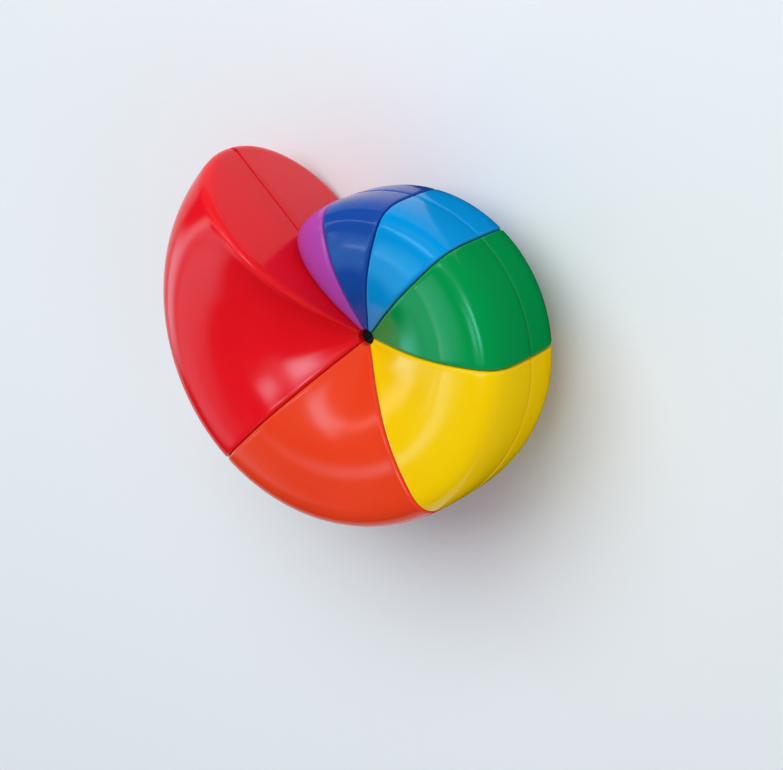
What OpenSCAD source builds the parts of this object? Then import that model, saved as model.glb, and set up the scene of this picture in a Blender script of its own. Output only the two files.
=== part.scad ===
// Spiral shell twisty puzzle.
// Two layers, front and back, turn about one axis through the middle of a nautilus-shaped shell.
// Each layer is cut into seven wedge pieces, and each piece is a hollow shell on a foot that rides
// in the round track of a split core. Half of both layers also flips over, about the core screw.
// Frame: +Z is the turning axis, out of the front; the origin is where all the turning axes cross,
// in the plane between the layers. +Y points at the lip of the mouth, and wedge angles run from +Y
// towards +X, which is clockwise as seen from the front.

/* [Outline] */
// Distance from the turning axis to the lip of the mouth
lip_r = 57; // [52:1:64]
// How strongly the spiral closes in over one turn
growth = 0.66; // [0.55:0.01:0.75]
// Swell of the outline halfway round
belly = 0.15; // [0:0.01:0.3]
// Slower growth before the mouth and a quicker one at the lip
flare = 0.93; // [0:0.01:1.4]

/* [Dome] */
// Height of the dome's crest over the middle plane where the rim is as far out as the lip
crest_h = 19.6; // [18:0.1:22]
// Power of the rim's distance that the crest's height follows
crest_power = 0.6; // [0.5:0.05:1.4]
// Where the crest lies between the pole, 0, and the rim, 1
crest_at = 0.73; // [0.6:0.01:0.76]
// Squareness of the rim outside the crest
rim_power = 4; // [2.5:0.1:5.5]
// Height of the dome at the pole, the same for every piece
pole_h = 4.3; // [4:0.1:5]
// Radius of the small round hole that the tips leave at each pole
pole_hole_r = 1.9; // [1.5:0.1:2.5]

/* [Dome at the mouth] */
// How much higher the crest is at the lip, as a part of its height
mouth_swell = 0.28; // [0:0.01:0.3]
// Where the crest lies at the lip
mouth_crest_at = 0.57; // [0.5:0.01:0.7]
// Squareness of the rim at the lip, 2 for an ellipse
mouth_power = 2; // [1.8:0.1:4]
// How late in the turn the dome takes its shape at the lip
mouth_blend = 12; // [6:1:14]

/* [Dome at the start] */
// How much lower the crest is where the spiral starts, as a part of its height
start_dip = 0.39; // [0:0.01:0.4]
// Where the crest lies at the start
start_crest_at = 0.55; // [0.5:0.01:0.7]
// Squareness of the rim at the start, 2 for an ellipse
start_power = 1.8; // [1.8:0.1:4]
// How soon in the turn the dome loses its shape at the start
start_blend = 25; // [12:1:40]

/* [Pieces] */
// Thickness of the shells
wall = 1.6; // [1.2:0.1:2]
// Gap between neighbouring pieces, and between the layers
gap = 0.2; // [0.1:0.05:0.4]
// Radius at which the hollow inside a shell begins
hollow_r = 11; // [10:0.5:12]

/* [Core] */
// Radius of the hub that the feet run round
hub_r = 9; // [8.5:0.1:9.5]
// Radius of the middle disc that keeps the feet of the two layers apart
disc_r = 16; // [15:0.5:17]
// Half the thickness of the middle disc
disc_half = 0.6; // [0.5:0.05:0.8]
// Radius of the flange that holds the feet down
flange_r = 13; // [12.5:0.5:14]
// Thickness of a foot
foot_t = 1.3; // [1.2:0.05:1.5]
// Thickness of the flange
flange_t = 1; // [0.8:0.05:1.1]
// Radial and axial running clearance of the feet
foot_play = 0.15; // [0.1:0.01:0.2]

/* [Core screw] */
// Radius of the screw's shank
screw_r = 1; // [0.8:0.1:1.2]
// Radius of the screw's head
head_r = 2.1; // [1.8:0.1:2.2]
// Thickness of the screw's head
head_t = 1.4; // [1:0.1:1.6]
// Depth of the screw in the fixed half of the core
screw_grip = 7; // [5:0.5:8]
// Length of the spring as fitted
spring_len = 2.6; // [2:0.1:3]
// Radius of the spring's wire
wire_r = 0.3; // [0.2:0.05:0.35]
// Turns of the spring
spring_turns = 3; // [2:1:4]

/* [Hidden] */

// One row for each wedge: its name, the angle where it starts, the angle where it ends, its colour.
WEDGES = [
    ["purple", 0, 30, [0.58, 0.22, 0.55]],
    ["dark_blue", 30, 60, [0.08, 0.22, 0.55]],
    ["light_blue", 60, 90, [0.02, 0.55, 0.82]],
    ["green", 90, 135, [0.0, 0.55, 0.28]],
    ["yellow", 135, 195, [1.0, 0.78, 0.0]],
    ["orange", 195, 270, [0.93, 0.33, 0.12]],
    ["red", 270, 360, [0.82, 0.05, 0.08]]
];

half_gap = gap / 2;
foot_z = disc_half + foot_play;                  // underside of a foot in the track
foot_top = foot_z + foot_t;
flange_z = foot_top + foot_play;                 // underside of the flange
core_h = flange_z + flange_t;                    // half the height of the core
tip_z = core_h + foot_play;                      // underside of a shell's tip, over the flange
ledge_r = flange_r + foot_play;                  // a shell steps down outside the flange
skirt_r = disc_r + 4 * foot_play;                // a shell reaches the middle plane outside the disc
ledge_z = foot_top + foot_play;                  // underside of a shell over the foot
foot_in_r = hub_r + foot_play;                   // inner radius of the foot
plate_r = disc_r + foot_play;                    // inner radius of the base plate
foot_out_r = skirt_r - foot_play / 2;            // outer radius of the foot, inside the base plate
plate_play = 0.05;                               // glue gap between a base plate and its side walls
rim_play = 0.15;                                 // glue gap between a base plate and the rim
profile_steps = 14;                              // stations along a shell's profile
wedge_step = 6;                                  // degrees between a shell's columns
foot_angle = 1;                                  // degrees that a foot stands in from its cuts
spring_r = screw_r + 2 * wire_r + 0.1;           // mean radius of the spring
counterbore_r = spring_r + wire_r + 0.3;
seat_y = 4;                                      // floor of the spring's counterbore
washer_y = seat_y + spring_len;
washer_t = 0.4;
head_y = washer_y + washer_t;                    // underside of the screw's head
thread_play = 0.05;                              // running clearance of the flipping half
slot_w = 0.6;                                    // width of the cross in the screw's head
slot_depth = 0.6;
wire_sides = 8;                                  // sides of the spring's wire
turn_steps = 14;                                 // steps in one turn of the spring
curve_fn = 96;
hole_fn = 48;

// Radius of the rim at a wedge angle.
function rim_r(a) =
    let (u = a / 360)
    lip_r * exp(-growth * (1 - u) + belly * u * (1 - u) + flare * u * (1 - u) * (0.5 - u));

// A value of the dome at a wedge angle: mid for most of the turn, with its own value at either end.
function near_mouth(a) = pow(a / 360, mouth_blend);
function near_start(a) = pow(1 - a / 360, start_blend);
function blend(a, start, mid, mouth) =
    mid + (start - mid) * near_start(a) + (mouth - mid) * near_mouth(a);
function crest(a) =
    crest_h * pow(rim_r(a) / lip_r, crest_power) * (1 + blend(a, -start_dip, 0, mouth_swell));
function crest_s(a) = blend(a, start_crest_at, crest_at, mouth_crest_at);
function rim_n(a) = blend(a, start_power, rim_power, mouth_power);

// Height of the dome at radius rho in the section at angle a. The section stands in by thick.
function dome(rho, a, thick) =
    let (
        n = rim_n(a),
        top = crest_s(a),
        s = min(1, rho / (rim_r(a) - thick)),
        rise = s < top ? sin(90 * s / top) : 1,
        fall = s < top ? 1 : pow(max(0, 1 - pow((s - top) / (1 - top), n)), 1 / n)
    )
    (crest(a) - thick) * rise * fall + (pole_h - thick) * (1 - rise);

// Radius at which the dome outside its crest comes down to height z.
function dome_r(z, a, thick) =
    let (n = rim_n(a), top = crest_s(a))
    (rim_r(a) - thick) * (top + (1 - top) * pow(1 - pow(z / (crest(a) - thick), n), 1 / n));

// A point at radius rho in the wedge from a0 to a1. The side planes stand inset from the cuts, and
// t runs from 0 to 1 across the wedge.
function at(rho, z, a0, a1, t, inset) =
    let (d = asin(min(0.9, inset / rho)), a = a0 + d + (a1 - a0 - 2 * d) * t)
    [rho * sin(a), rho * cos(a), z];

// A grid of points, one column for each step across the wedge, from radius r0 out to the rim.
function skin(a0, a1, n, r0, thick, inset) = [
    for (i = [0 : n]) for (j = [0 : profile_steps])
        let (
            a = a0 + (a1 - a0) * i / n,
            rho = r0 + (rim_r(a) - thick - r0) * sin(90 * j / profile_steps),
            z = j == profile_steps ? half_gap : max(half_gap, dome(rho, a, thick))
        )
        at(rho, z, a0, a1, i / n, inset)
];

// The underside of one side wall, from the skirt back to the tip.
function underside(a0, a1, t, r0, inset) = [
    for (p = [
        [skirt_r, half_gap], [skirt_r, ledge_z], [ledge_r, ledge_z], [ledge_r, tip_z], [r0, tip_z]
    ]) at(p[0], p[1], a0, a1, t, inset)
];

// The row of points under the inner end of a skin.
function end_row(a0, a1, n, r0, inset) = [for (i = [1 : n - 1]) at(r0, tip_z, a0, a1, i / n, inset)];

function wedge_columns(a0, a1) = ceil((a1 - a0) / wedge_step);
function reversed(v) = [for (i = [len(v) - 1 : -1 : 0]) v[i]];

// One piece's hollow shell: an outer skin, an inner skin, and the stepped edge that joins them.
module shell_solid(a0, a1) {
    n = wedge_columns(a0, a1);
    inner_inset = half_gap + wall;
    cols = profile_steps + 1;
    grid = (n + 1) * cols;
    size = grid + 10 + (n - 1);
    outer = concat(
        skin(a0, a1, n, pole_hole_r, 0, half_gap),
        underside(a0, a1, 0, pole_hole_r, half_gap),
        underside(a0, a1, 1, pole_hole_r, half_gap),
        end_row(a0, a1, n, pole_hole_r, half_gap)
    );
    inner = concat(
        skin(a0, a1, n, hollow_r, wall, inner_inset),
        underside(a0, a1, 0, hollow_r, inner_inset),
        underside(a0, a1, 1, hollow_r, inner_inset),
        end_row(a0, a1, n, hollow_r, inner_inset)
    );
    // The faces of one skin. low(i) is the point under column i at its inner end.
    low = [for (i = [0 : n]) i == 0 ? grid + 4 : i == n ? grid + 9 : grid + 9 + i];
    roof = [for (i = [0 : n - 1]) for (j = [0 : profile_steps - 1])
        let (a = i * cols + j, b = a + 1, c = a + cols, d = c + 1)
        each [[a, b, d], [a, d, c]]];
    side0 = [concat([for (j = [profile_steps : -1 : 0]) j], [for (k = [4 : -1 : 0]) grid + k])];
    side1 = [concat([for (k = [0 : 4]) grid + 5 + k], [for (j = [0 : profile_steps]) n * cols + j])];
    tip = [for (i = [0 : n - 1]) each
        [[low[i], i * cols, (i + 1) * cols], [low[i], (i + 1) * cols, low[i + 1]]]];
    skin_faces = concat(roof, side0, side1, tip);
    inner_faces = [for (f = skin_faces) [for (p = reversed(f)) p + size]];
    // The edge between the skins: under the tip, along both walls, and round the rim.
    under_tip = [for (i = [0 : n - 1]) each [
        [low[i], low[i + 1], low[i + 1] + size], [low[i], low[i + 1] + size, low[i] + size]]];
    wall0 = [for (k = [0 : 3]) [grid + k, grid + k + 1, grid + k + 1 + size, grid + k + size]];
    wall1 = [for (k = [0 : 3])
        [grid + 5 + k, grid + 5 + k + size, grid + 6 + k + size, grid + 6 + k]];
    rim = [for (i = [0 : n - 1])
        let (a = i * cols + profile_steps, b = a + cols)
        each [[a, a + size, b + size], [a, b + size, b]]];
    join0 = [[profile_steps, grid, grid + size, profile_steps + size]];
    join1 = [[grid + 5, n * cols + profile_steps, n * cols + profile_steps + size, grid + 5 + size]];
    polyhedron(
        concat(outer, inner),
        concat(skin_faces, inner_faces, under_tip, wall0, wall1, rim, join0, join1),
        convexity = 6
    );
}

// A ring of rectangular section from radius r0 to r1 and height z0 to z1.
module ring(r0, r1, z0, z1) {
    rotate_extrude($fn = curve_fn) translate([r0, z0]) square([r1 - r0, z1 - z0]);
}

// The part of a ring inside one wedge.
module ring_sector(r0, r1, z0, z1, a0, a1) {
    rotate([0, 0, 90 - a1 + foot_angle])
        rotate_extrude(angle = a1 - a0 - 2 * foot_angle, $fn = curve_fn)
            translate([r0, z0]) square([r1 - r0, z1 - z0]);
}

// One piece's base: a plate that closes the shell, and a foot that hooks under the core's flange.
module foot_solid(a0, a1) {
    n = wedge_columns(a0, a1);
    inset = half_gap + wall + plate_play;
    outline = concat(
        [for (i = [0 : n]) at(plate_r, 0, a0, a1, i / n, inset)],
        [for (i = [n : -1 : 0])
            let (r = dome_r(foot_top, a0 + (a1 - a0) * i / n, wall))
            at(r - rim_play, 0, a0, a1, i / n, inset)]
    );
    union() {
        ring_sector(foot_in_r, foot_out_r, foot_z, foot_top, a0, a1);
        translate([0, 0, half_gap]) linear_extrude(foot_top - half_gap)
            polygon([for (p = outline) [p[0], p[1]]]);
    }
}

// The front layer as drawn, or mirrored to the back.
module in_layer(front) {
    if (front) children();
    else mirror([0, 0, 1]) children();
}

module wedge_shell(i, front) {
    color(WEDGES[i][3]) in_layer(front) shell_solid(WEDGES[i][1], WEDGES[i][2]);
}

module wedge_foot(i, front) {
    color([0.15, 0.15, 0.16]) in_layer(front) foot_solid(WEDGES[i][1], WEDGES[i][2]);
}

// The whole core before it is split: a hub, a middle disc and a flange at each end.
module core_body() {
    union() {
        ring(0, hub_r, -core_h, core_h);
        ring(0, disc_r, -disc_half, disc_half);
        ring(0, flange_r, flange_z, core_h);
        ring(0, flange_r, -core_h, -flange_z);
    }
}

// Everything on one side of the plane that splits the core; side is 1 or -1 along Y.
module half_space(side) {
    reach = 2 * disc_r;
    translate([-reach, side > 0 ? half_gap : -half_gap - reach, -reach])
        cube([2 * reach, reach, 2 * reach]);
}

// A cylinder along +Y from y0 to y1.
module along_y(r, y0, y1) {
    translate([0, y0, 0]) rotate([-90, 0, 0]) cylinder(r = r, h = y1 - y0, $fn = hole_fn);
}

module core_half_fixed() {
    color([0.08, 0.08, 0.09]) difference() {
        intersection() {
            core_body();
            half_space(-1);
        }
        along_y(screw_r, -screw_grip, gap);
    }
}

module core_half_flip() {
    color([0.1, 0.1, 0.11]) difference() {
        intersection() {
            core_body();
            half_space(1);
        }
        along_y(screw_r + thread_play, -gap, seat_y + gap);
        along_y(counterbore_r, seat_y, disc_r + gap);
    }
}

module core_screw() {
    color([0.7, 0.7, 0.72]) difference() {
        union() {
            along_y(screw_r, -screw_grip, head_y + head_t / 2);
            along_y(head_r, head_y, head_y + head_t);
        }
        for (turn = [0, 90]) rotate([0, turn, 0])
            translate([-head_r, head_y + head_t - slot_depth, -slot_w / 2])
                cube([2 * head_r, head_t, slot_w]);
    }
}

module core_washer() {
    color([0.75, 0.75, 0.77]) difference() {
        along_y(head_r, washer_y, head_y);
        along_y(screw_r + thread_play, washer_y - gap, head_y + gap);
    }
}

// Compression spring: a round wire swept along a helix, with flat closed ends.
module core_spring() {
    steps = spring_turns * turn_steps;
    climb = spring_len - 2 * wire_r;
    points = [
        for (k = [0 : steps]) for (w = [0 : wire_sides - 1])
            let (
                a = 360 * k / turn_steps,
                b = 360 * w / wire_sides,
                r = spring_r + wire_r * cos(b),
                y = seat_y + wire_r + climb * k / steps + wire_r * sin(b)
            )
            [r * cos(a), y, r * sin(a)]
    ];
    sides = [
        for (k = [0 : steps - 1]) for (w = [0 : wire_sides - 1])
            let (
                a = k * wire_sides + w,
                b = k * wire_sides + (w + 1) % wire_sides,
                c = a + wire_sides,
                d = b + wire_sides
            )
            each [[a, c, d], [a, d, b]]
    ];
    start = [for (w = [0 : wire_sides - 1]) w];
    end = [for (w = [wire_sides - 1 : -1 : 0]) steps * wire_sides + w];
    color([0.6, 0.6, 0.63]) polyhedron(points, concat(sides, [start, end]), convexity = 8);
}

core_half_fixed();
core_half_flip();
core_screw();
core_washer();
core_spring();
for (i = [0 : len(WEDGES) - 1]) {
    wedge_shell(i, true);
    wedge_foot(i, true);
    wedge_shell(i, false);
    wedge_foot(i, false);
}
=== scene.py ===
import math

import bpy
import numpy as np
from mathutils import Matrix, Vector


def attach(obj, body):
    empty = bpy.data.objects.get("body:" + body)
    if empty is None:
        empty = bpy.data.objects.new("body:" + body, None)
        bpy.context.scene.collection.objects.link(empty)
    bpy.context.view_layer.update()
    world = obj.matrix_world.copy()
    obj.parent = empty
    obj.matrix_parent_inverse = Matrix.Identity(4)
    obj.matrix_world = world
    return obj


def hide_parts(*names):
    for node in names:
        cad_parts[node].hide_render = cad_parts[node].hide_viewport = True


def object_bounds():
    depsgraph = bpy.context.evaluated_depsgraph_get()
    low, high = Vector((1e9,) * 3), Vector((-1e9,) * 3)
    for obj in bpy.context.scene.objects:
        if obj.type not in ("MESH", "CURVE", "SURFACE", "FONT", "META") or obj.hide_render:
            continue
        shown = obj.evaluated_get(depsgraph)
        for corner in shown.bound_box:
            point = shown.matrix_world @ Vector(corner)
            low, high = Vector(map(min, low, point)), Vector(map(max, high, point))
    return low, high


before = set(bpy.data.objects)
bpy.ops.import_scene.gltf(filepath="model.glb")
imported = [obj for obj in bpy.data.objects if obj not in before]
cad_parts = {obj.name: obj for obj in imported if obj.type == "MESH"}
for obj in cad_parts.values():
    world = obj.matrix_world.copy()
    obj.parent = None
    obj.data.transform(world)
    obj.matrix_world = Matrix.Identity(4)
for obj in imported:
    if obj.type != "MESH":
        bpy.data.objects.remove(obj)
CAD_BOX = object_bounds()

# The shell is worked out in millimetres and degrees. MM turns its points into metres.
MM = 0.001

# The shape of the shell, as part.scad has it.
LIP_R, GROWTH, BELLY, FLARE = 57.0, 0.66, 0.15, 0.93
CREST_H, CREST_POWER, CREST_AT, RIM_POWER = 19.6, 0.6, 0.73, 4.0
POLE_H, POLE_HOLE_R = 4.3, 1.9
MOUTH_SWELL, MOUTH_CREST_AT, MOUTH_POWER, MOUTH_BLEND = 0.28, 0.57, 2.0, 12
START_DIP, START_CREST_AT, START_POWER, START_BLEND = 0.39, 0.55, 1.8, 25
WALL, HALF_GAP, HOLLOW_R = 1.6, 0.1, 11.0
TIP_Z, LEDGE_Z, LEDGE_R, SKIRT_R = 3.35, 2.2, 13.15, 16.6
# The walls between two wedges are drawn a little closer together than they are made.
SIDE_GAP = 0.05

# One row for each wedge: its name and the angles where it starts and ends, from +Y towards +X.
WEDGES = [
    ("purple", 0, 30),
    ("dark_blue", 30, 60),
    ("light_blue", 60, 90),
    ("green", 90, 135),
    ("yellow", 135, 195),
    ("orange", 195, 270),
    ("red", 270, 360),
]
# The wedges on the half of the core that flips.
FLIPS = ("purple", "dark_blue", "light_blue", "red")

# Radii of the rounded edges: between wedges, round the mouth, at the middle plane and at the hole
# in the pole. A side edge is never rounded by more than SIDE_SHARE of the wedge's width.
SIDE_R, MOUTH_R, MID_R, TIP_R = 0.8, 2.8, 0.7, 0.45
SIDE_SHARE = 0.28
CHAMFER = 0.25
# The mouth's edge grows to its full radius over this stretch of the way out from the pole.
MOUTH_R_START, MOUTH_R_LENGTH = 5, 14
# Where rows and columns stand along a rounded edge, as shares of its radius.
ROUND = np.array([0.0, 0.1, 0.22, 0.36, 0.52, 0.72, 1.0])

# Rows along a shell's profile, and how much they crowd where it turns.
PROFILE_ROWS, TURN_WEIGHT = 56, 0.9
# Degrees between a shell's columns, and the fewest between its edges.
COLUMN_STEP, FEWEST_COLUMNS = 1.5, 6
# Samples of the fine profile on the way up to the crest and on the way down to the rim.
RISE_SAMPLES, FALL_SAMPLES = 240, 400
# The table of profiles: its rows to a degree, and how far it reaches past the wedge.
TABLE_STEPS, TABLE_MARGIN = 2, 1
# A column's angles and the radii of its rows depend on each other. They settle in a few passes.
PASSES = 4
# Degrees to either side of a point that give its normal.
NORMAL_STEP = 0.2
# The largest sine that a wall's distance from its radial plane may take near the pole.
MAX_SINE = 0.9
# Where the skin is rounded it sinks along the edge's plane: wholly so from 1 / LEAN_RATE of the
# radius inwards. FAR is a distance that no rounding reaches.
LEAN_RATE, FAR = 4, 9.0
# The points of a side wall below the skin, from its foot in to the hole in the pole.
LOWER = 5
# Creases sharper than this many degrees stay sharp.
CREASE = 40
TINY = 1e-9


# The shape of a shell.


def rim_r(a):
    """Radius of the rim at wedge angle a."""
    u = np.asarray(a, float) / 360
    return LIP_R * np.exp(
        -GROWTH * (1 - u) + BELLY * u * (1 - u) + FLARE * u * (1 - u) * (0.5 - u)
    )


def blend(a, start, mid, mouth):
    """A value of the dome at wedge angle a: mid for most of the turn, others at its two ends."""
    u = np.asarray(a, float) / 360
    return mid + (start - mid) * (1 - u) ** START_BLEND + (mouth - mid) * u**MOUTH_BLEND


def crest(a):
    """Height of the dome's crest."""
    swell = 1 + blend(a, -START_DIP, 0, MOUTH_SWELL)
    return CREST_H * (rim_r(a) / LIP_R) ** CREST_POWER * swell


def crest_s(a):
    """Where the crest is, as a share of the rim's radius."""
    return blend(a, START_CREST_AT, CREST_AT, MOUTH_CREST_AT)


def rim_n(a):
    """The power that shapes the fall from the crest to the rim."""
    return blend(a, START_POWER, RIM_POWER, MOUTH_POWER)


def rise(s, top):
    """How far up the dome has come from the pole towards its crest at share s of the radius."""
    return np.where(s < top, np.sin(np.pi / 2 * np.minimum(s / top, 1)), 1)


def dome(rho, a, thick):
    """Height of the dome at radius rho in the section at angle a, which stands in by thick."""
    n, top = rim_n(a), crest_s(a)
    s = np.minimum(1, rho / (rim_r(a) - thick))
    w = np.clip((s - top) / (1 - top), 0, 1)
    fall = np.maximum(0, 1 - w**n) ** (1 / n)
    up = rise(s, top)
    return (crest(a) - thick) * up * fall + (POLE_H - thick) * (1 - up)


def profile(a):
    """A fine polyline of (rho, z) from the pole's hole to the middle plane."""
    r, c, n, top = float(rim_r(a)), float(crest(a)), float(rim_n(a)), float(crest_s(a))
    s = np.linspace(POLE_HOLE_R / r, top, RISE_SAMPLES)[:-1]
    theta = np.linspace(0, np.pi / 2, FALL_SAMPLES)
    fall = np.concatenate([np.ones(len(s)), np.cos(theta) ** (2 / n)])
    s = np.concatenate([s, top + (1 - top) * np.sin(theta) ** (2 / n)])
    up = rise(s, top)
    z = c * up * fall + POLE_H * (1 - up)
    keep = z > HALF_GAP
    return np.append(s[keep] * r, r), np.append(z[keep], HALF_GAP)


def stations(a):
    """(rho, z) of every row of the column at wedge angle a. Rows crowd where the profile turns."""
    rho, z = profile(a)
    step = np.hypot(np.diff(rho), np.diff(z))
    length = np.concatenate([[0], np.cumsum(step)])
    heading = np.unwrap(np.arctan2(np.diff(z), np.diff(rho)))
    turn = np.concatenate([[0], np.cumsum(np.abs(np.diff(heading))), [0]])
    turn[-1] = turn[-2]
    load = length / length[-1] + TURN_WEIGHT * turn / turn[-1]
    tip = TIP_R * ROUND[:-1]
    end = length[-1] - MID_R * ROUND[::-1]
    load_tip = np.interp(TIP_R, length, load)
    load_end = np.interp(end[0], length, load)
    middle = np.interp(np.linspace(load_tip, load_end, PROFILE_ROWS + 1)[:-1], load, length)
    at = np.concatenate([tip, middle, end])
    return np.interp(at, length, rho), np.interp(at, length, z)


def unit(v):
    return v / np.maximum(np.linalg.norm(v, axis=-1, keepdims=True), TINY)


def along(v, e):
    """The part of v that points along e."""
    return (v * e).sum(-1, keepdims=True) * e


def place(rho, z, a):
    """The point at radius rho, height z and wedge angle a."""
    a = np.radians(a)
    return np.stack([rho * np.sin(a), rho * np.cos(a), z + 0 * a], -1)


def across(a):
    """The direction square to the radial plane at angle a, towards larger angles."""
    return np.array([np.cos(np.radians(a)), -np.sin(np.radians(a)), 0.0])


def swing(off, rho):
    """The angle in degrees that a wall which stands off a radial plane takes up at radius rho."""
    return np.degrees(np.arcsin(np.minimum(MAX_SINE, off / rho)))


def inset(rho, z, a0, a1, t, off):
    """A point at share t of the way between two walls, which stand off the planes at a0 and a1."""
    d = swing(off, rho)
    return place(rho, z, a0 + d + (a1 - a0 - 2 * d) * t)


def profile_table(a0, a1):
    """A function that gives the (rho, z) of points whose row and angle are known, and the number
    of rows. It reads them off a table of columns."""
    count = int((a1 - a0 + 2 * TABLE_MARGIN) * TABLE_STEPS) + 1
    angles = np.linspace(a0 - TABLE_MARGIN, a1 + TABLE_MARGIN, count)
    table = [stations(a) for a in angles]
    table_rho = np.array([t[0] for t in table])
    table_z = np.array([t[1] for t in table])
    rows = table_rho.shape[1]

    def rows_at(a):
        k = np.clip((a - angles[0]) / (angles[1] - angles[0]), 0, count - 1)
        i = np.minimum(k.astype(int), count - 2)
        f = k - i
        j = np.arange(rows)[None, :] + 0 * i
        rho = table_rho[i, j] * (1 - f) + table_rho[i + 1, j] * f
        z = table_z[i, j] * (1 - f) + table_z[i + 1, j] * f
        return rho, z

    return rows_at, rows


def edge_radii(rho, width, mouth):
    """Radii of a wedge's two side edges at radius rho. The mouth's edge is rounder."""
    small = np.minimum(SIDE_R, SIDE_SHARE * rho * width)
    if not mouth:
        return small, small
    wide = np.clip((rho - MOUTH_R_START) / MOUTH_R_LENGTH, 0, 1)
    return small, small + (MOUTH_R - small) * wide * wide * (3 - 2 * wide)


def outer_skin(a0, a1, mouth):
    """The outer skin of a shell with its edges rounded, columns by rows, and how worn each point
    is: 1 halfway round an edge, 0 on the dome and on the wall."""
    rows_at, rows = profile_table(a0, a1)
    width = math.radians(a1 - a0)
    middle = max(FEWEST_COLUMNS, int(round((a1 - a0) / COLUMN_STEP)))
    whole = np.ones(middle - 1 + len(ROUND))
    t = np.concatenate([0 * ROUND, np.arange(1, middle) / middle, np.ones(len(ROUND))])[:, None]
    x0 = np.concatenate([ROUND, whole])[:, None]
    x1 = np.concatenate([whole, ROUND[::-1]])[:, None]

    a = a0 + (a1 - a0) * t + np.zeros((1, rows))
    for _ in range(PASSES):
        rho, z = rows_at(a)
        r0, r1 = edge_radii(rho, width, mouth)
        lo = a0 + swing(SIDE_GAP + r0 * x0, rho)
        hi = a1 - swing(SIDE_GAP + r1 * x1, rho)
        a = lo + (hi - lo) * t
    rho, z = rows_at(a)
    flat = place(rho, z, a)
    ahead, behind = rows_at(a + NORMAL_STEP), rows_at(a - NORMAL_STEP)
    sideways = place(*ahead, a + NORMAL_STEP) - place(*behind, a - NORMAL_STEP)
    n = unit(np.cross(np.gradient(flat, axis=1), sideways))
    n = np.where(n[:, rows // 2 : rows // 2 + 1, 2:3] < 0, -n, n)

    # Each edge has a plane: how far the skin is from it, the edge's radius, the plane's normal.
    e0, e1 = across(a0), across(a1)
    row = np.arange(rows)[None, :] + 0 * a
    to_middle = np.where(row > rows // 2, z - HALF_GAP, FAR)
    to_hole = np.where(row < rows // 2, rho - POLE_HOLE_R, FAR)
    edges = (
        ((flat * e0).sum(-1) - SIDE_GAP, r0, e0),
        (-(flat * e1).sum(-1) - SIDE_GAP, r1, e1),
        (to_middle, MID_R, np.array([0.0, 0.0, 1.0])),
        (to_hole, TIP_R, place(1 + 0 * rho, 0 * z, a)),
    )
    depth = np.zeros_like(rho)
    total = np.zeros_like(rho)
    lean = n.copy()
    for distance, r, e in edges:
        x = np.clip(1 - distance / r, 0, 1)
        w = np.clip(LEAN_RATE * x, 0, 1)[..., None]
        lean = lean - w * along(lean, e + 0 * flat)
        depth += r * x * x
        total += x * x
    r = depth / np.maximum(total, TINY)
    sunk = r * (1 - np.sqrt(np.maximum(0, 1 - total)))
    turn = np.sqrt(np.minimum(total, 1))
    return flat - sunk[..., None] * unit(lean), 4 * turn * (1 - turn)


def inner_skin(a0, a1, t, rows):
    """The skin of the hollow, with the same columns and rows as the outer skin."""
    a = a0 + (a1 - a0) * t[:, None]
    reach = rim_r(a) - WALL - HOLLOW_R
    rho = HOLLOW_R + reach * np.sin(np.pi / 2 * np.arange(rows)[None, :] / (rows - 1))
    z = np.maximum(HALF_GAP, dome(rho, a, WALL))
    z[:, -1] = HALF_GAP
    return inset(rho, z, a0, a1, t[:, None] + 0 * rho, SIDE_GAP + WALL)


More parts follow.
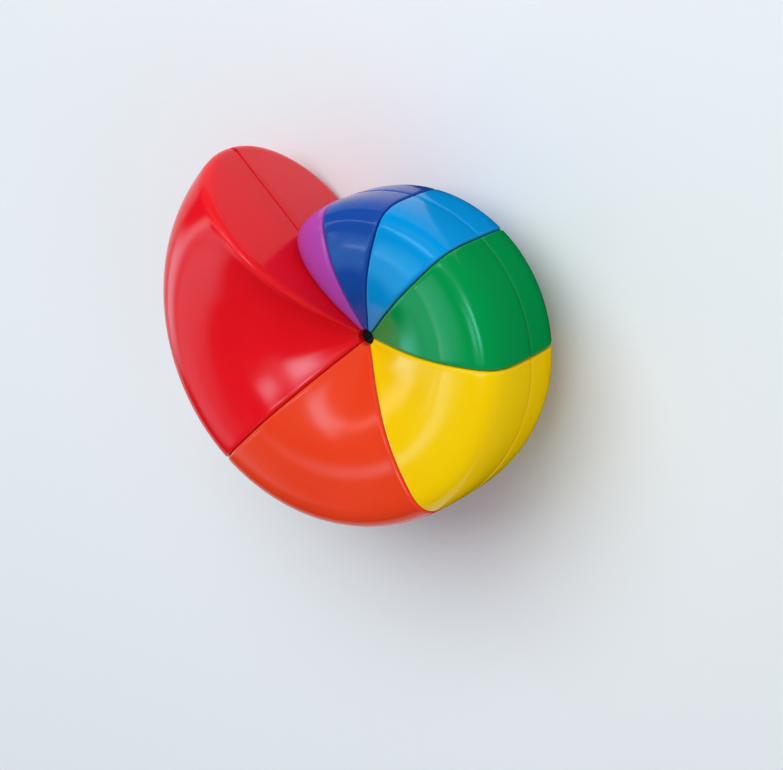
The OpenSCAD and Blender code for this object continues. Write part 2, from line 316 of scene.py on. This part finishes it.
def shell_mesh(name, a0, a1, mouth, front):
    """A closed shell: the outer skin, the skin of the hollow, and what joins them: the side walls,
    the underside round the pole and the rim at the middle plane."""
    outer, exposed = outer_skin(a0, a1, mouth)
    cols, rows = outer.shape[:2]
    t = np.linspace(0, 1, cols)
    inner = inner_skin(a0, a1, t, rows)
    # The two last rows of either side column make the chamfer at the middle plane.
    for side, angle, sign in ((0, a0, 1), (-1, a1, -1)):
        outer[side, -1] += sign * CHAMFER * across(angle)
        outer[side, -2, 2] = HALF_GAP + CHAMFER
    verts, faces = [], []

    def add(points):
        first = len(verts)
        verts.extend(np.asarray(points, float).reshape(-1, 3).tolist())
        return first

    def point(rho, z, share, off):
        return inset(np.array(rho), np.array(z), a0, a1, share, off)

    def under(side, tip_r, off, chamfer):
        """The lower points of a side wall, from its foot in to the hole in the pole."""
        steps = [(SKIRT_R, LEDGE_Z), (LEDGE_R, LEDGE_Z), (LEDGE_R, TIP_Z), (tip_r, TIP_Z)]
        foot = point(SKIRT_R, HALF_GAP, float(side), off + chamfer)
        return [foot] + [point(rho, z, float(side), off) for rho, z in steps]

    wall_off = SIDE_GAP + WALL
    outer_at = add(outer)
    inner_at = add(inner)
    out_u = [add(under(side, POLE_HOLE_R, SIDE_GAP, CHAMFER)) for side in (0, 1)]
    in_u = [add(under(side, HOLLOW_R, wall_off, 0.0)) for side in (0, 1)]
    # The point above each side wall's foot where the chamfer starts.
    lift = [add(point(SKIRT_R, HALF_GAP + CHAMFER, float(side), SIDE_GAP)) for side in (0, 1)]
    out_low = add([point(POLE_HOLE_R, TIP_Z, share, SIDE_GAP) for share in t[1:-1]])
    in_low = add([point(HOLLOW_R, TIP_Z, share, wall_off) for share in t[1:-1]])

    def out(i, j):
        return outer_at + i * rows + j

    def hollow(i, j):
        return inner_at + i * rows + j

    def low(i, base, ends):
        """The point of the flat underside below column i."""
        if i == 0:
            return ends[0] + LOWER - 1
        if i == cols - 1:
            return ends[1] + LOWER - 1
        return base + i - 1

    for i in range(cols - 1):
        for j in range(rows - 1):
            faces.append([out(i, j), out(i, j + 1), out(i + 1, j + 1), out(i + 1, j)])
            faces.append([hollow(i, j), hollow(i + 1, j), hollow(i + 1, j + 1), hollow(i, j + 1)])
        out_0, out_1 = low(i, out_low, out_u), low(i + 1, out_low, out_u)
        in_0, in_1 = low(i, in_low, in_u), low(i + 1, in_low, in_u)
        faces.append([out_0, out(i, 0), out(i + 1, 0), out_1])
        faces.append([in_0, in_1, hollow(i + 1, 0), hollow(i, 0)])
        faces.append([out_0, out_1, in_1, in_0])
        last = rows - 1
        faces.append([out(i, last), hollow(i, last), hollow(i + 1, last), out(i + 1, last)])
    walls = []
    for side, i in ((0, 0), (1, cols - 1)):
        edge = [out(i, j) for j in range(rows - 1)] + [lift[side]]
        outside = edge + [out_u[side] + k for k in range(1, LOWER)]
        slope = [out(i, rows - 2), out(i, rows - 1), out_u[side], lift[side]]
        inside = [hollow(i, j) for j in range(rows)] + [in_u[side] + k for k in range(LOWER)]
        strip = [[out_u[side], lift[side], out_u[side] + 1, in_u[side] + 1, in_u[side]]]
        for k in range(1, LOWER - 1):
            strip.append([out_u[side] + k, out_u[side] + k + 1, in_u[side] + k + 1, in_u[side] + k])
        rim = [out(i, rows - 1), hollow(i, rows - 1), in_u[side], out_u[side]]
        walls.append(len(faces))
        for face in (outside, slope, inside[::-1], *strip, rim):
            faces.append(face if side else face[::-1])

    v = np.array(verts) * MM
    if front:
        faces = [face[::-1] for face in faces]
    else:
        v[:, 2] *= -1
    me = bpy.data.meshes.new(name)
    me.from_pydata(v.tolist(), [], faces)
    me.validate()
    worn = np.zeros(len(verts), np.float32)
    worn[: cols * rows] = exposed.reshape(-1)
    me.attributes.new("worn", "FLOAT", "POINT").data.foreach_set("value", worn)
    me.shade_smooth()
    for k in walls:
        me.polygons[k].use_smooth = False
    me.set_sharp_from_angle(angle=math.radians(CREASE))
    return me


# Materials.

# Roughness of the shells, the feet and the core.
GLOSS, SATIN, MATT = 0.13, 0.42, 0.6
# The plastic's patterns: the scale of the noise, per metre, and its detail.
FLOW, RUB, SMEAR = (38.0, 3.0), (900.0, 4.0), (60.0, 2.0)
PEEL, SINK = (620.0, 2.0), (85.0, 1.0)
# How much the flow marks are warped, and the part of the noise where they and the smears show.
FLOW_WARP, FLOW_SPAN, SMEAR_SPAN = 0.6, (0.25, 0.6), (0.3, 0.75)
# The colour rubbed plastic goes towards, as a share of white, and how far it goes that way. How
# much rougher it gets.
PALE, WEAR_PALE, WEAR_ROUGH = 0.25, 0.08, 0.05
# How much rougher a smear is, and how much deeper a sink mark is than the orange peel.
SMEAR_ROUGH, SINK_DEPTH = 0.05, 5.0
# The steel's cloudy finish: the scale of the noise, and how much light its dark parts keep.
CLOUD_SCALE, CLOUD_SHADE = 700.0, 0.8
# Its scratches: the detail of the noise, its scale along them as a share of that across them,
# and how much rougher they are.
HAIR_DETAIL, HAIR_STRETCH, HAIR_ROUGH = 4.0, 0.08, 0.2
# Strength and distance of the bumps, in metres.
PLASTIC_BUMP, STEEL_BUMP = (0.12, 0.00006), (0.15, 0.00002)


class Shader:
    """A material that is being put together."""

    def __init__(self, name):
        self.mat = bpy.data.materials.new(name)
        self.mat.use_nodes = True
        self.tree = self.mat.node_tree

    def fill(self, node, inputs):
        """Link each input to another node's output or give it a value."""
        for key, value in inputs.items():
            if isinstance(value, bpy.types.NodeSocket):
                self.tree.links.new(value, node.inputs[key])
            else:
                node.inputs[key].default_value = value

    def node(self, kind, output, inputs, **settings):
        """The named output of a new node."""
        made = self.tree.nodes.new("ShaderNode" + kind)
        for key, value in settings.items():
            setattr(made, key, value)
        self.fill(made, inputs)
        return made.outputs[output]

    def finish(self, **inputs):
        """The material, once its Principled node is fed. A name's underscores stand for spaces."""
        bsdf = self.tree.nodes["Principled BSDF"]
        self.fill(bsdf, {key.replace("_", " "): value for key, value in inputs.items()})
        return self.mat

    def coords(self):
        return self.node("TexCoord", "Object", {})

    def noise(self, at, scale, detail=2.0, distortion=0.0):
        inputs = {"Vector": at, "Scale": scale, "Detail": detail, "Distortion": distortion}
        return self.node("TexNoise", "Fac", inputs)

    def calc(self, operation, *values):
        return self.node("Math", 0, dict(enumerate(values)), operation=operation)

    def span(self, value, from_min, from_max, to_min, to_max):
        inputs = {"Value": value, "From Min": from_min, "From Max": from_max}
        return self.node("MapRange", "Result", {**inputs, "To Min": to_min, "To Max": to_max})

    def mix(self, factor, a, b):
        inputs = {"Factor": factor, "A": a, "B": b}
        return self.node("Mix", "Result", inputs, data_type="RGBA")

    def bump(self, height, strength, distance):
        inputs = {"Height": height, "Strength": strength, "Distance": distance}
        return self.node("Bump", "Normal", inputs)


def plastic(name, color, deep, rough):
    """Moulded plastic: faint flow marks in the colour, orange-peel bump, and edges rubbed dull."""
    shader = Shader(name)
    at = shader.coords()
    flow = shader.span(shader.noise(at, *FLOW, distortion=FLOW_WARP), *FLOW_SPAN, 0.0, 1.0)
    worn = shader.node("Attribute", "Fac", {}, attribute_name="worn")
    rubbed = shader.calc("MULTIPLY", worn, shader.noise(at, *RUB))
    pale = shader.calc("MULTIPLY", rubbed, WEAR_PALE)
    tone = shader.mix(flow, (*deep, 1), (*color, 1))
    smear = shader.span(shader.noise(at, *SMEAR), *SMEAR_SPAN, rough, rough + SMEAR_ROUGH)
    peel = shader.noise(at, *PEEL)
    high = shader.calc("MULTIPLY_ADD", shader.noise(at, *SINK), SINK_DEPTH, peel)
    return shader.finish(
        IOR=1.5,
        Specular_IOR_Level=0.25,
        Base_Color=shader.mix(pale, tone, (*[(1 - PALE) * c + PALE for c in color], 1)),
        Roughness=shader.calc("MULTIPLY_ADD", rubbed, WEAR_ROUGH, smear),
        Normal=shader.bump(high, *PLASTIC_BUMP),
    )


def steel(name, tint, rough, scale):
    """Plated or drawn steel: a cloudy finish and fine scratches along one way."""
    shader = Shader(name)
    at = shader.coords()
    cloud = shader.noise(at, CLOUD_SCALE)
    stretch = {"Vector": at, "Scale": (scale, scale * HAIR_STRETCH, scale)}
    hair = shader.noise(shader.node("Mapping", "Vector", stretch), 1.0, HAIR_DETAIL)
    return shader.finish(
        Metallic=1.0,
        Base_Color=shader.mix(cloud, (*[CLOUD_SHADE * c for c in tint], 1), (*tint, 1)),
        Roughness=shader.span(hair, 0.0, 1.0, rough, rough + HAIR_ROUGH),
        Normal=shader.bump(hair, *STEEL_BUMP),
    )


def paper():
    """The floor's matt paper, faintly cloudy."""
    shader = Shader("floor_paper")
    cloud = shader.node("TexNoise", "Fac", {"Scale": 3.0})
    tone = shader.mix(cloud, (0.86, 0.895, 0.925, 1), (0.89, 0.925, 0.955, 1))
    return shader.finish(Base_Color=tone, Roughness=0.7)


# Each colour, and the deeper tone of its flow marks.
COLOURS = {
    "purple": ((0.45, 0.072, 0.46), (0.42, 0.065, 0.43)),
    "dark_blue": ((0.010, 0.072, 0.38), (0.009, 0.064, 0.35)),
    "light_blue": ((0.0, 0.31, 0.74), (0.0, 0.285, 0.69)),
    "green": ((0.0, 0.30, 0.066), (0.0, 0.275, 0.060)),
    "yellow": ((1.0, 0.64, 0.0), (0.98, 0.60, 0.0)),
    "orange": ((0.88, 0.056, 0.014), (0.84, 0.049, 0.012)),
    "red": ((0.86, 0.006, 0.014), (0.81, 0.005, 0.012)),
}
PAINT = {n: plastic(n + "_gloss", c, d, GLOSS) for n, (c, d) in COLOURS.items()}
CORE = plastic("core_satin", (0.006, 0.006, 0.007), (0.004, 0.004, 0.005), MATT)
FOOT = plastic("foot_satin", (0.022, 0.022, 0.024), (0.016, 0.016, 0.018), SATIN)
STEEL = steel("zinc_plate", (0.66, 0.66, 0.68), 0.22, 6000.0)
SPRING = steel("spring_wire", (0.52, 0.52, 0.55), 0.28, 9000.0)


# The pieces.


def put(name, data):
    """A new object in the scene."""
    made = bpy.data.objects.new(name, data)
    bpy.context.scene.collection.objects.link(made)
    return made


# The smooth shells stand in for the CAD's.
for layer in ("front", "back"):
    for name, a0, a1 in WEDGES:
        node = f"{layer}_{name}_shell"
        me = shell_mesh(node + "_smooth", a0, a1, name == "red", layer == "front")
        me.materials.append(PAINT[name])
        shell = put(node + "_smooth", me)
        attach(shell, f"{layer}_{'flip' if name in FLIPS else 'fixed'}_side")
        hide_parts(node)

# The CAD's own feet and core keep their shapes and take a finished material.
for name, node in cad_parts.items():
    if name.endswith("_foot"):
        mat = FOOT
    elif name in ("core_screw", "core_washer"):
        mat = STEEL
    elif name == "core_spring":
        mat = SPRING
    elif name.startswith("core_half"):
        mat = CORE
    else:
        continue
    node.data.materials.clear()
    node.data.materials.append(mat)


# The floor, light and camera, in metres.

# The floor is just clear of the object, and the card of the floor.
FLOOR_HALF, FLOOR_DROP, CARD_LIFT = 6.0, 0.0002, 0.0001
FLOOR_Z = CAD_BOX[0].z - FLOOR_DROP
# The card starts at CARD_X. Its slanted edge goes from CARD_Y there to CARD_FAR_Y at the end of
# the floor.
CARD_X, CARD_Y, CARD_FAR_Y = -0.04, 0.023, 0.627


def sheet(name, corners, z, mat):
    """A flat sheet at height z."""
    mesh = bpy.data.meshes.new(name)
    mesh.from_pydata([(x, y, z) for x, y in corners], [], [(0, 1, 2, 3)])
    mesh.materials.append(mat)
    return put(name, mesh)


SQUARE = ((-1, -1), (1, -1), (1, 1), (-1, 1))
floor = sheet("floor", [(x * FLOOR_HALF, y * FLOOR_HALF) for x, y in SQUARE], FLOOR_Z, paper())

# A black card on the floor, as photographers use: only reflections see it. It keeps the pale
# floor out of the gloss on the green and yellow sides, as in the photo.
card = sheet(
    "black_card",
    (
        (CARD_X, -FLOOR_HALF),
        (FLOOR_HALF, -FLOOR_HALF),
        (FLOOR_HALF, CARD_FAR_Y),
        (CARD_X, CARD_Y),
    ),
    FLOOR_Z + CARD_LIFT,
    Shader("black_velvet").finish(Base_Color=(0.0, 0.0, 0.0, 1), Specular_IOR_Level=0.0),
)
for ray in ("camera", "diffuse", "shadow", "transmission", "volume_scatter"):
    setattr(card, "visible_" + ray, False)

camera = put("camera", bpy.data.cameras.new("camera"))
camera.data.lens = 129.875
camera.data.clip_start, camera.data.clip_end = 0.05, 50.0
camera.location = (0.35004, -0.09626, 0.54664)
camera.rotation_euler = [math.radians(d) for d in (-16.6153, 29.8626, -44.3541)]
bpy.context.scene.camera = camera
LOOK = camera.rotation_euler.to_matrix()

# The outermost of a highlight's nested boxes is up to this share larger than the light, the
# innermost as much smaller, and each lies this far behind the last.
SOFT_EDGE, BOX_STEP = 0.45, 0.004
COOL = (0.35, 0.85, 1.0)


def softbox(name, start, end, distance, width, radiance, shine=1, tint=(1, 1, 1)):
    """A rectangular light that faces the origin, from one direction to another, as seen from the
    camera. Directions are (right, up, towards the camera). With shine 0 it lights the scene and
    leaves no reflection. Otherwise it is only a highlight, made of that many nested boxes, so its
    edge is soft."""
    p, q = ((LOOK @ Vector(v)).normalized() * distance for v in (start, end))
    back, side = (p + q).normalized(), q - p
    side = (side - back * side.dot(back)).normalized()
    length = (q - p).length
    turn = Matrix((side, back.cross(side), back)).transposed()
    steps = max(1, shine)
    for k in range(steps):
        grow = 1 + SOFT_EDGE * (steps - 1) / steps * (1 - 2 * k / max(1, steps - 1))
        data = bpy.data.lights.new(f"{name}_{k}", "AREA")
        data.shape = "RECTANGLE"
        data.size, data.size_y = length * grow, width * grow
        data.energy = radiance / steps * math.pi * data.size * data.size_y
        data.color = tint
        light = put(data.name, data)
        light.matrix_world = Matrix.Translation((p + q) / 2 + back * BOX_STEP * k) @ turn.to_4x4()
        light.visible_glossy = shine > 0
        light.visible_diffuse = shine == 0


softbox("key", (-0.9, 0.28, 0.6), (-0.05, 0.36, 0.95), 1.2, 0.9, 3.3, 0)
softbox("fill", (0.50, -0.60, 0.60), (0.90, -0.60, 0.25), 1.3, 0.7, 2.4, 0)
softbox("left_card", (-0.84, -0.50, 0.26), (-0.94, -0.36, -0.12), 0.80, 0.28, 2.2, 8, COOL)
softbox("low_card", (-0.95, -0.22, -0.15), (-0.86, -0.08, -0.50), 0.75, 0.24, 4.8, 8, COOL)
softbox("left_strip", (-0.985, -0.05, -0.14), (-0.98, 0.13, 0.12), 0.70, 0.10, 3.0, 6)
softbox("upper_strip", (-0.98, 0.13, 0.12), (-0.77, 0.13, 0.63), 0.70, 0.04, 4.0)
softbox("window", (-0.78, 0.08, 0.62), (-0.50, 0.09, 0.86), 0.70, 0.10, 8.0, 3, COOL)
softbox("front_box", (-0.30, -0.10, 0.95), (-0.18, -0.34, 0.92), 0.70, 0.12, 12.0, 4, COOL)
softbox("front_strip", (-0.22, 0.04, 0.97), (-0.43, -0.40, 0.81), 0.72, 0.20, 2.2, 7, COOL)
softbox("low_box", (-0.46, -0.30, 0.83), (-0.60, -0.33, 0.73), 0.70, 0.08, 8.0, 3, COOL)
softbox("crest_box", (-0.90, -0.345, 0.28), (-0.81, -0.33, 0.49), 0.70, 0.085, 4.0, 5, COOL)
softbox("spot", (-0.905, -0.33, 0.25), (-0.895, -0.35, 0.27), 0.70, 0.03, 12.0)
softbox("edge_strip", (-0.95, -0.28, 0.18), (-0.95, -0.20, 0.19), 0.70, 0.03, 5.0)

world = bpy.data.worlds.new("studio")
world.use_nodes = True
sky = world.node_tree.nodes["Background"]
sky.inputs["Color"].default_value = (0.90, 0.95, 1.0, 1)
sky.inputs["Strength"].default_value = 0.38
world.cycles_visibility.glossy = False
bpy.context.scene.world = world
bpy.context.scene.view_settings.view_transform = "Standard"
